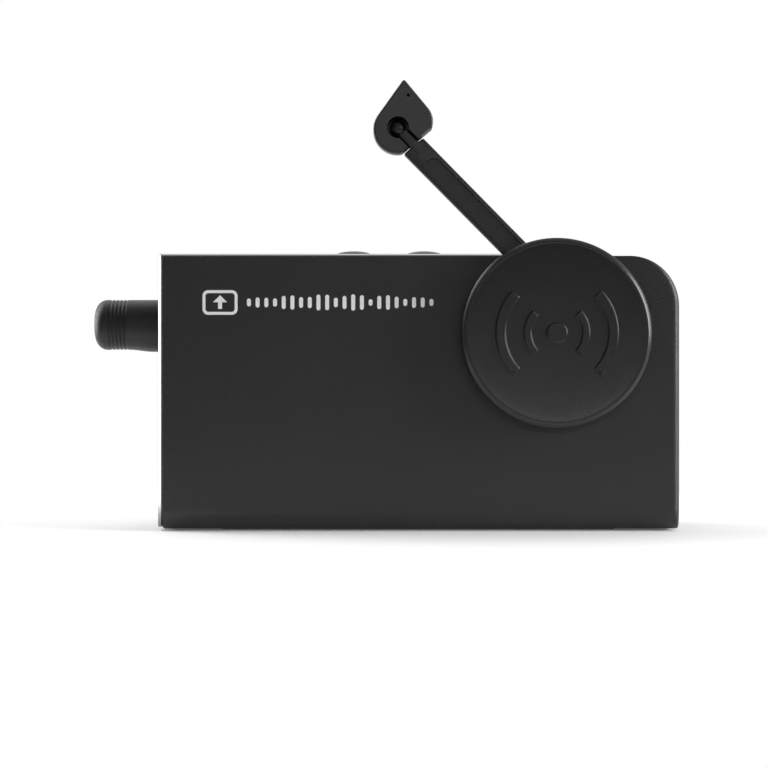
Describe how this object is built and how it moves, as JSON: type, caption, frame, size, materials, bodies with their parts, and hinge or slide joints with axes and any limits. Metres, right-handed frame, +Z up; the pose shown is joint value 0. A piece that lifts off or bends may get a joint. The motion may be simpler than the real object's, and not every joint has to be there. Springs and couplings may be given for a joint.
{
  "type": "telephone handset lifter",
  "caption": "Upright black desk unit with a ribbed lift bar at its end, two top buttons and a ring-detector microphone on a swinging arm.",
  "frame": {"origin": "middle of the base pad's underside, on the surface the unit stands on", "axes": "+X to the right along the case, the lift bar points to -X; +Y from the front face to the rear; +Z up"},
  "size_m": [0.1258, 0.0404, 0.0946],
  "materials": {
    "case": "fine-grained black, satin",
    "trim": "polished black",
    "disc": "fine satin black",
    "arm": "smooth satin black",
    "rubber": "matte black rubber",
    "lead": "matte black",
    "button": "satin black",
    "gear": "natural acetal",
    "steel": "drawn and plated",
    "fastener": "zinc plated",
    "board": "green solder resist on glass laminate",
    "component": "moulded black",
    "contact": "gold plated",
    "screen": "fine woven screen"
  },
  "bodies": {
    "housing": {"front_cover": "case", "rear_housing": "case", "end_trim": "trim", "base_pad": "rubber", "inner_lead": "lead", "turret_bush": "gear", "guide_rod_front": "steel", "guide_rod_rear": "steel", "final_axle": "steel", "idler_axle": "steel", "motor_can": "steel", "gear_frame": "steel", "wave_washer": "steel", "case_screw_1": "fastener", "case_screw_2": "fastener", "case_screw_3": "fastener", "case_screw_4": "fastener", "frame_screw_1": "fastener", "frame_screw_2": "fastener", "frame_screw_3": "fastener", "board_screw_1": "fastener", "board_screw_2": "fastener", "circuit_board": "board", "button_board": "board", "limit_board": "board", "control_chip": "component", "driver_chip": "component", "storage_capacitor": "component", "cable_socket": "component", "lead_plug": "component", "limit_switch_top": "component", "limit_switch_bottom": "component", "button_switch_left": "component", "button_switch_right": "component", "socket_contacts": "contact"},
    "lift_carriage": {"lift_carriage": "gear", "lift_rack": "gear"},
    "lift_bar": {"lift_sleeve": "rubber", "lift_rod": "steel"},
    "final_gear": {"final_gear": "gear"},
    "idler_gear": {"idler_gear": "gear"},
    "motor_rotor": {"motor_shaft": "steel", "motor_pinion": "gear"},
    "mic_arm": {"mic_arm": "arm", "turret_cap": "disc", "retaining_clip": "steel", "mic_lead": "lead"},
    "mic_pod": {"pod_front": "arm", "pod_back": "arm", "mic_capsule": "steel", "port_screen": "screen"},
    "button_left": {"button_left": "button"},
    "button_right": {"button_right": "button"}
  },
  "joints": [
    {"name": "lift", "type": "slide", "parent": "housing", "child": "lift_carriage", "axis": [0, 0, 1], "range_m": [-0.015, 0.005]},
    {"name": "bar_extend", "type": "slide", "parent": "lift_carriage", "child": "lift_bar", "axis": [-1, 0, 0], "range_m": [0, 0.012]},
    {"name": "final_gear_turn", "type": "hinge", "parent": "housing", "child": "final_gear", "pos_m": [-0.02716, 0, 0.0324], "axis": [0, 1, 0], "range_deg": [-179.1, 59.8]},
    {"name": "idler_gear_turn", "type": "hinge", "parent": "housing", "child": "idler_gear", "pos_m": [-0.01357, 0, 0.02606], "axis": [0, 1, 0], "range_deg": [-238.8, 716.3]},
    {"name": "motor_turn", "type": "hinge", "parent": "housing", "child": "motor_rotor", "pos_m": [-0.00088, 0, 0.02144], "axis": [0, 1, 0], "range_deg": [-3151.4, 1050.5]},
    {"name": "arm_swing", "type": "hinge", "parent": "housing", "child": "mic_arm", "pos_m": [0.0287, 0, 0.04175], "axis": [0, 1, 0], "range_deg": [-52, 150]},
    {"name": "pod_tilt", "type": "hinge", "parent": "mic_arm", "child": "mic_pod", "pos_m": [-0.00438, -0.0196, 0.08469], "axis": [0.7683, 0, 0.6401], "range_deg": [0, 25]},
    {"name": "button_left_press", "type": "slide", "parent": "housing", "child": "button_left", "axis": [0, 0, -1], "range_m": [0, 0.0008], "stiffness_N_per_m": 500},
    {"name": "button_right_press", "type": "slide", "parent": "housing", "child": "button_right", "axis": [0, 0, -1], "range_m": [0, 0.0008], "stiffness_N_per_m": 500}
  ],
  "couplings": [
    {"joint": "final_gear_turn", "follows": "lift", "rad_per_m": 208.33},
    {"joint": "idler_gear_turn", "follows": "lift", "rad_per_m": -833.33},
    {"joint": "motor_turn", "follows": "lift", "rad_per_m": 3666.7}
  ]
}
